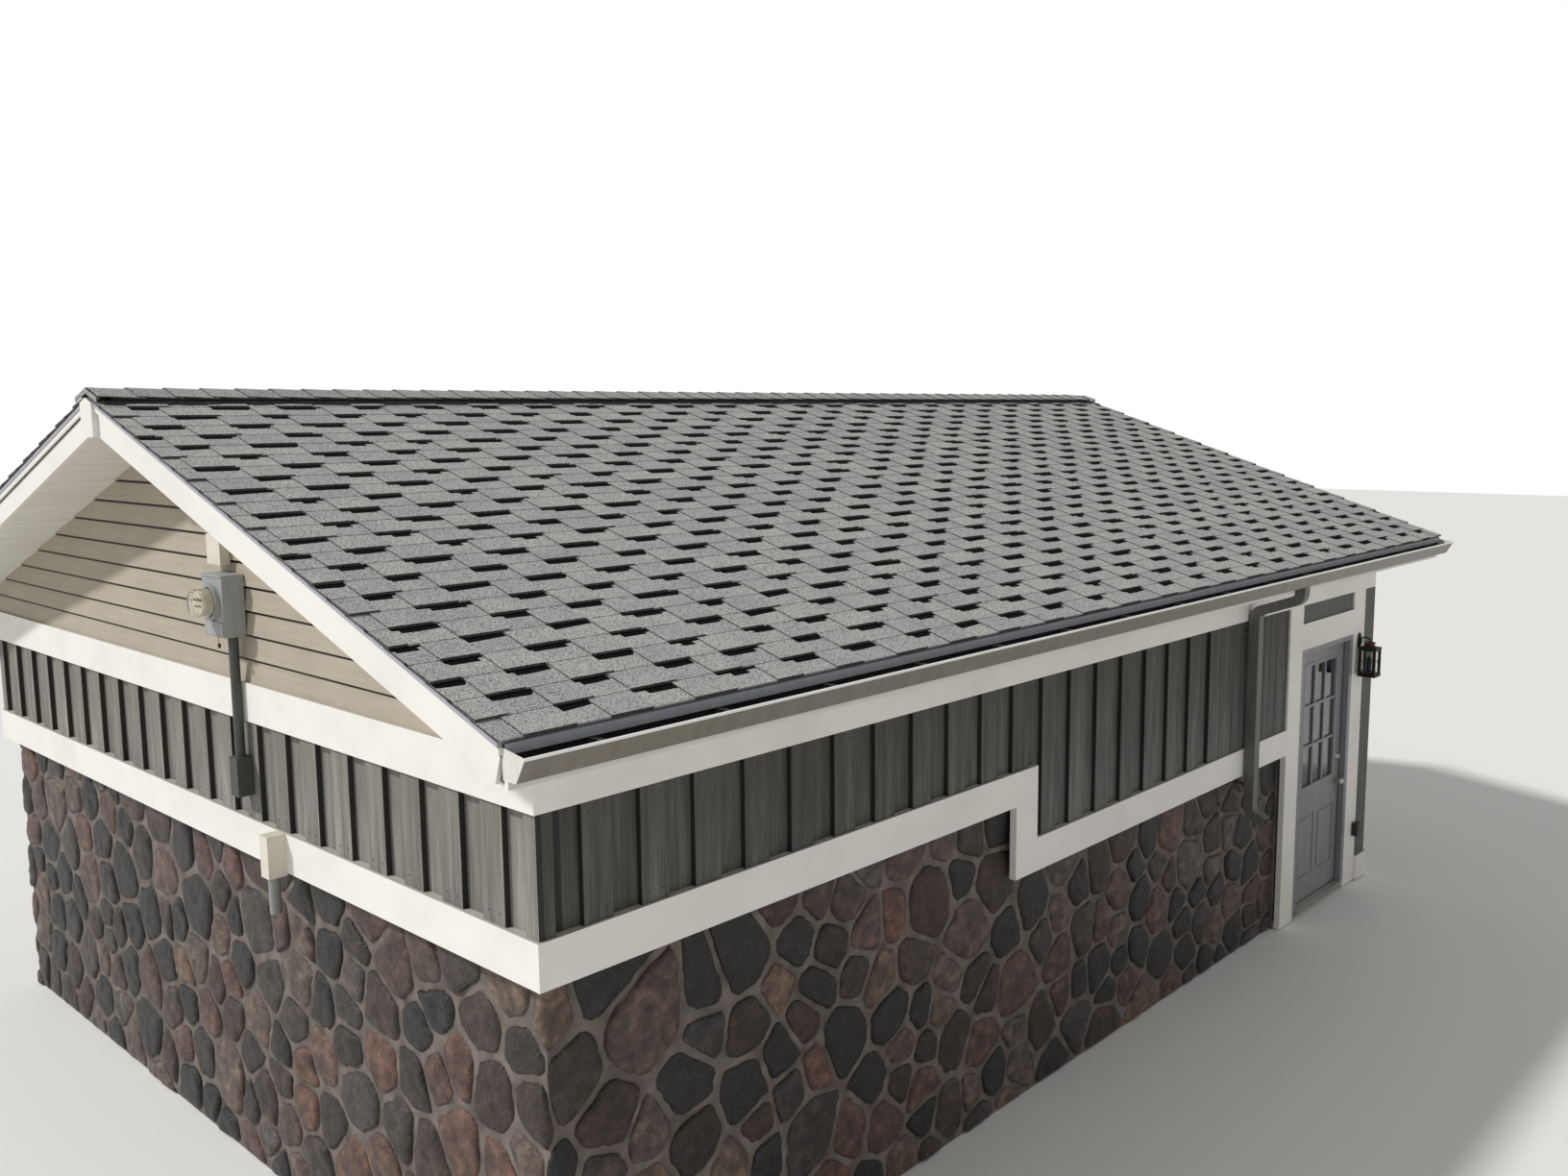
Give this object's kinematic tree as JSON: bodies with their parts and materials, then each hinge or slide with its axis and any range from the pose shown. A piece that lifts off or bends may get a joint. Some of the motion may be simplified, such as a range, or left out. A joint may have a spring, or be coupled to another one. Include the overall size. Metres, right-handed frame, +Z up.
{
  "type": "boathouse",
  "caption": "Gabled lakeside boathouse with board-on-board walls on a fieldstone foundation, a glazed side door and a boat door under the lake gable.",
  "frame": {"origin": "under the middle of the roof, at the lowest ground", "axes": "+Z up, +X along the ridge towards the lake, -Y out through the long wall with the door"},
  "size_m": [9.406, 7.084, 4.124],
  "materials": {
    "grey_boards": "board siding in weathered dark taupe stain",
    "fieldstone": "rounded fieldstones in grey mortar",
    "concrete": "trowelled concrete",
    "white_trim": "warm white painted boards",
    "soffit_paint": "white painted panels",
    "tan_siding": "lap siding in tan stain",
    "grey_trim": "grey taupe painted boards",
    "door_paint": "satin grey paint",
    "window_glass": "clear pane",
    "satin_steel": "satin nickel",
    "framing_lumber": "planed softwood",
    "asphalt_shingle": "mineral granules on asphalt, mixed greys",
    "vent_plastic": "black moulded vent",
    "coated_aluminium": "baked taupe coating",
    "slate_metal": "baked slate grey coating",
    "grey_enamel": "light grey enamel",
    "cream_plastic": "weathered cream plastic",
    "aged_copper": "aged copper brown"
  },
  "bodies": {
    "building": {"floor_slab": "concrete", "foundation_near": "fieldstone", "foundation_sides": "fieldstone", "wall_near": "grey_boards", "wall_front": "grey_boards", "wall_over_door": "grey_boards", "wall_corner": "grey_boards", "wall_back": "grey_boards", "wall_lake_sides": "grey_boards", "wall_lake_gable": "grey_boards", "lap_siding": "tan_siding", "boards_front": "grey_boards", "boards_back": "grey_boards", "boards_gables": "grey_boards", "frieze_boards": "white_trim", "belly_bands": "white_trim", "skirt_front": "white_trim", "skirt_back": "white_trim", "skirt_gables": "white_trim", "corner_boards": "grey_trim", "corner_plinths": "white_trim", "door_casing": "white_trim", "transom_panel": "grey_trim", "door_frame": "door_paint", "door_sill": "satin_steel", "hinge_pins": "satin_steel", "boat_door": "door_paint", "boat_door_frame": "door_paint", "boat_door_casing": "white_trim", "rafters": "framing_lumber", "ridge_board": "framing_lumber", "rafter_ties": "framing_lumber", "roof_deck": "framing_lumber", "shingles_front": "asphalt_shingle", "shingles_back": "asphalt_shingle", "ridge_vent": "vent_plastic", "ridge_cap": "asphalt_shingle", "rake_boards": "white_trim", "drip_edges": "slate_metal", "rake_soffits": "soffit_paint", "peak_blocks": "white_trim", "eave_soffits": "soffit_paint", "fascia_boards": "white_trim", "gutter_backs": "coated_aluminium", "gutter_floors": "coated_aluminium", "gutter_faces": "coated_aluminium", "gutter_ends": "coated_aluminium", "downspouts": "coated_aluminium", "meter_socket": "grey_enamel", "meter_glass": "window_glass", "conduit": "grey_enamel", "service_boxes": "cream_plastic", "lantern": "aged_copper"},
    "door": {"door_leaf": "door_paint", "door_bars": "door_paint", "door_glass": "window_glass", "door_hinges": "satin_steel", "door_lock": "satin_steel"},
    "knob": {"door_knob": "satin_steel"}
  },
  "joints": [
    {"name": "door_swing", "type": "hinge", "parent": "building", "child": "door", "pos_m": [2.7985, -2.987, 1.1], "axis": [0, 0, 1], "range_deg": [0, 105]},
    {"name": "knob_turn", "type": "hinge", "parent": "door", "child": "knob", "pos_m": [3.656, -3.04, 0.933], "axis": [0, -1, 0], "range_deg": [-60, 60]}
  ]
}
